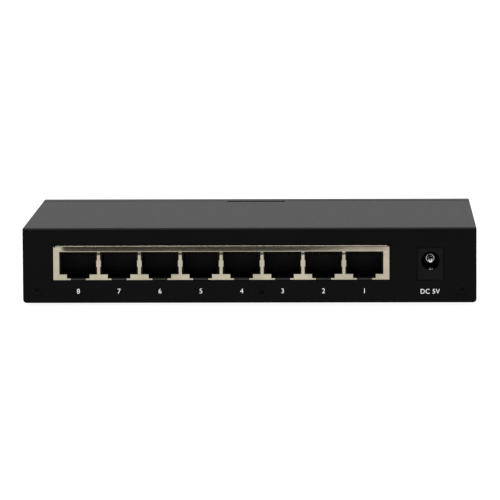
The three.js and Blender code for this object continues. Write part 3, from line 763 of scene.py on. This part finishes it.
def small_parts():
    """Chip parts in two lengths: one mesh of their bodies and one of their tinned ends."""
    bodies, ends = bmesh.new(), bmesh.new()
    draw = random.Random(7)
    base = board_top()
    for x, y, lengthways in small_part_places():
        half = PART_LENGTH / 2 * draw.choice(LENGTH_SHARES)
        wide = PART_WIDTH / 2
        cap = CAP_LENGTH
        spans = (((-half + cap, half - cap), bodies, CAP_PROUD), ((-half, -half + cap), ends, 0.0),
                 ((half - cap, half), ends, 0.0))
        for (start, stop), target, inset in spans:
            low = (start, -wide + inset) if not lengthways else (-wide + inset, start)
            high = (stop, wide - inset) if not lengthways else (wide - inset, stop)
            add_box(target, (x + low[0], y + low[1], base + PART_LIFT),
                    (x + high[0], y + high[1], base + PART_HEIGHT - inset))
    for bm, name, material, slot in ((bodies, "small_part_bodies", ceramic_body, "chip_resin"),
                                     (ends, "small_part_ends", tinned_lead, "screw_steel")):
        bmesh.ops.recalc_face_normals(bm, faces=bm.faces)
        soften(bm, 0.05, 1)
        piece_from(bm, name, material, "base")


PRINT_LINE = 0.18 * MM
PRINT_LIFT = 0.004 * MM
PRINT_THICKNESS = 0.02 * MM
PRINT_GAP = 0.5 * MM


def add_frame(bm, low, high, level):
    """A printed rectangle on the board, as four strips."""
    line = PRINT_LINE
    strips = (((low[0], low[1]), (high[0], low[1] + line)), ((low[0], high[1] - line), (high[0], high[1])),
              ((low[0], low[1] + line), (low[0] + line, high[1] - line)),
              ((high[0] - line, low[1] + line), (high[0], high[1] - line)))
    for start, stop in strips:
        add_box(bm, (*start, level + PRINT_LIFT), (*stop, level + PRINT_THICKNESS))


def board_print():
    """A printed outline around each larger part."""
    bm = bmesh.new()
    framed = ["switch_chip", "flash_chip", "crystal", "power_inductor", "voltage_regulator_1",
              "voltage_regulator_2", *(f"line_transformer_{i}" for i in range(1, 5))]
    for node in framed:
        low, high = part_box(node)
        add_frame(bm, (low.x - PRINT_GAP, low.y - PRINT_GAP), (high.x + PRINT_GAP, high.y + PRINT_GAP),
                  board_top())
    bmesh.ops.recalc_face_normals(bm, faces=bm.faces)
    piece_from(bm, "board_print", white_ink, "base")


small_parts()
board_print()

# Print under the indicators, on the floor of the bezel's shallow recess.
LEGEND_DEPTH = 0.4 * MM
LEGEND_Y = FRONT_Y - LEGEND_DEPTH + INK_LIFT
LEGEND_Z = 11.6 * MM
LEGEND_DIGIT_HEIGHT = 1.3 * MM
LEGEND_WORD_HEIGHT = 1.1 * MM
POWER_LAMP_X = 44 * MM
for port in range(1, 9):
    low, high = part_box(f"led_port_{port}")
    label(f"lamp_digit_{port}", str(port), ((low.x + high.x) / 2, LEGEND_Y, LEGEND_Z), LEGEND_DIGIT_HEIGHT,
          "base", turn=math.pi)
label("lamp_power_mark", "POWER", (POWER_LAMP_X, LEGEND_Y, LEGEND_Z), LEGEND_WORD_HEIGHT,
      "base", turn=math.pi)

# ---------------------------------------------------------------- camera, floor and light

CAMERA_PLACE = Vector((0.0382, -1.4299, 0.1746))
CAMERA_TURN = 1.575
CAMERA_TILT = -6.414
CAMERA_ROLL = 0.289
CAMERA_LENS = 293.1
CAMERA_SENSOR = 36.0
CAMERA_REACH = 20.0
FLOOR_SIZE = 12.0
FLOOR_GAP = 0.02 * MM
FLOOR_GREY = 0.14
FLOOR_GLOW = 0.94
FLAG_SIZE = (2.4, 3.0)
FLAG_PLACE = (-0.25, -2.1, 1.70)
FLAG_GREY = 0.002
OVERHEAD_PLACE = (0.0, -0.1, 1.5)
OVERHEAD_SIZE = (1.8, 1.4)
OVERHEAD_POWER = 32.0


def make_camera():
    data = bpy.data.cameras.new("camera")
    data.lens = CAMERA_LENS
    data.sensor_width = CAMERA_SENSOR
    data.clip_end = CAMERA_REACH
    camera = bpy.data.objects.new("camera", data)
    turn = Matrix.Rotation(math.radians(CAMERA_TURN), 4, "Z")
    tilt = Matrix.Rotation(math.radians(CAMERA_TILT), 4, "X")
    roll = Matrix.Rotation(math.radians(CAMERA_ROLL), 4, "Y")
    level = Matrix.Rotation(math.radians(90), 4, "X")
    camera.matrix_world = Matrix.Translation(CAMERA_PLACE) @ turn @ tilt @ roll @ level
    bpy.context.scene.collection.objects.link(camera)
    bpy.context.scene.camera = camera


def plain_surface(name, grey):
    """A dull, even grey."""
    return finish(name, (grey,) * 3, (grey * 1.02,) * 3, (0.85, 0.95), specular=0.1,
                  tint_scale=3, grain_scale=40)


def lit_floor():
    """A pale floor that glows a little, like a light table."""
    material = plain_surface("light_table", FLOOR_GREY)
    shader = material.node_tree.nodes["Principled BSDF"]
    shader.inputs["Emission Color"].default_value = (1.0, 1.0, 1.0, 1.0)
    shader.inputs["Emission Strength"].default_value = FLOOR_GLOW
    return material


def stage_plane(name, size, centre, facing, material):
    bm = bmesh.new()
    a, b = size[0] / 2, size[1] / 2
    bm.faces.new([bm.verts.new(p) for p in ((-a, -b, 0), (a, -b, 0), (a, b, 0), (-a, b, 0))])
    mesh = bpy.data.meshes.new(name)
    bm.to_mesh(mesh)
    bm.free()
    mesh.materials.append(material)
    plane = bpy.data.objects.new(name, mesh)
    plane.location = centre
    plane.rotation_mode = "QUATERNION"
    plane.rotation_quaternion = Vector(facing).to_track_quat("Z", "Y")
    bpy.context.scene.collection.objects.link(plane)
    return plane


def soft_light(name, centre, target, size, power):
    data = bpy.data.lights.new(name, "AREA")
    data.shape = "RECTANGLE"
    data.size, data.size_y = size
    data.energy = power
    light = bpy.data.objects.new(name, data)
    light.location = centre
    light.rotation_mode = "QUATERNION"
    light.rotation_quaternion = (Vector(target) - Vector(centre)).to_track_quat("-Z", "Y")
    light.visible_camera = False
    bpy.context.scene.collection.objects.link(light)


def make_stage():
    """A glowing floor, a white world, one soft light overhead, and a black flag behind the camera, which
    the camera doesn't see and which casts no shadow."""
    stage_plane("floor", (FLOOR_SIZE, FLOOR_SIZE), (0, 0, case_low.z - FLOOR_GAP), (0, 0, 1), lit_floor())
    flag = stage_plane("black_flag", FLAG_SIZE, FLAG_PLACE, (0, 1, 0),
                       plain_surface("flag_cloth", FLAG_GREY))
    flag.visible_camera = False
    flag.visible_shadow = False
    world = bpy.data.worlds.new("studio")
    world.use_nodes = True
    background = world.node_tree.nodes["Background"]
    background.inputs["Color"].default_value = (1.0, 1.0, 1.0, 1.0)
    background.inputs["Strength"].default_value = 1.0
    bpy.context.scene.world = world
    soft_light("overhead", OVERHEAD_PLACE, (0, 0, 0), OVERHEAD_SIZE, OVERHEAD_POWER)
    bpy.context.scene.view_settings.view_transform = "Standard"


make_camera()
make_stage()
